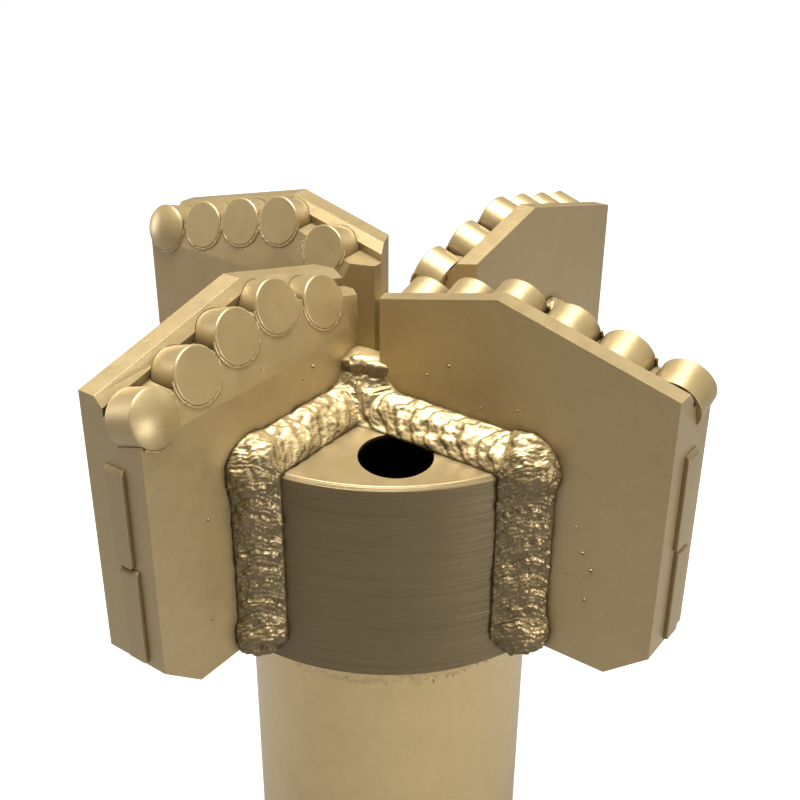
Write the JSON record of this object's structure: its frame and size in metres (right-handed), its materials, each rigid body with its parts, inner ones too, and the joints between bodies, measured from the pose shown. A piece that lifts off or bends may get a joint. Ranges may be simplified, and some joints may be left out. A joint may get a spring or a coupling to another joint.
{
  "type": "four-wing pdc drag drill bit",
  "caption": "Steel drag bit with straight wings welded to a round hub, raked round cutters in pockets, wear bars at the gauge, angled ports and a tapered pin.",
  "frame": {"origin": "on the bit axis, at the nose of the threaded pin that it stands on", "axes": "+Z along the bit axis, up towards the cutting face; +X along one wing"},
  "size_m": [0.1778, 0.1778, 0.232],
  "materials": {
    "cutter_paint": "satin gold paint over sintered cutters",
    "wing_paint": "satin gold paint over steel",
    "weld_paint": "satin gold paint over weld metal",
    "bar_paint": "satin gold paint over steel",
    "hub_paint": "satin gold paint over steel",
    "shank_paint": "satin gold paint over steel"
  },
  "bodies": {
    "root": {"cutter_a1": "cutter_paint", "cutter_a2": "cutter_paint", "cutter_a3": "cutter_paint", "cutter_a4": "cutter_paint", "cutter_a5": "cutter_paint", "cutter_a6": "cutter_paint", "cutter_b1": "cutter_paint", "cutter_b2": "cutter_paint", "cutter_b3": "cutter_paint", "cutter_b4": "cutter_paint", "cutter_b5": "cutter_paint", "cutter_c1": "cutter_paint", "cutter_c2": "cutter_paint", "cutter_c3": "cutter_paint", "cutter_c4": "cutter_paint", "cutter_c5": "cutter_paint", "cutter_d1": "cutter_paint", "cutter_d2": "cutter_paint", "cutter_d3": "cutter_paint", "cutter_d4": "cutter_paint", "cutter_d5": "cutter_paint", "cutter_d6": "cutter_paint", "hub": "hub_paint", "shank": "shank_paint", "shank_weld": "weld_paint", "tie_weld_ad": "weld_paint", "tie_weld_ba": "weld_paint", "tie_weld_cb": "weld_paint", "tie_weld_dc": "weld_paint", "wear_bar_a_lower": "bar_paint", "wear_bar_a_upper": "bar_paint", "wear_bar_b_lower": "bar_paint", "wear_bar_b_upper": "bar_paint", "wear_bar_c_lower": "bar_paint", "wear_bar_c_upper": "bar_paint", "wear_bar_d_lower": "bar_paint", "wear_bar_d_upper": "bar_paint", "weld_ad": "weld_paint", "weld_ba": "weld_paint", "weld_cb": "weld_paint", "weld_dc": "weld_paint", "wing_a": "wing_paint", "wing_b": "wing_paint", "wing_c": "wing_paint", "wing_d": "wing_paint"}
  },
  "joints": []
}
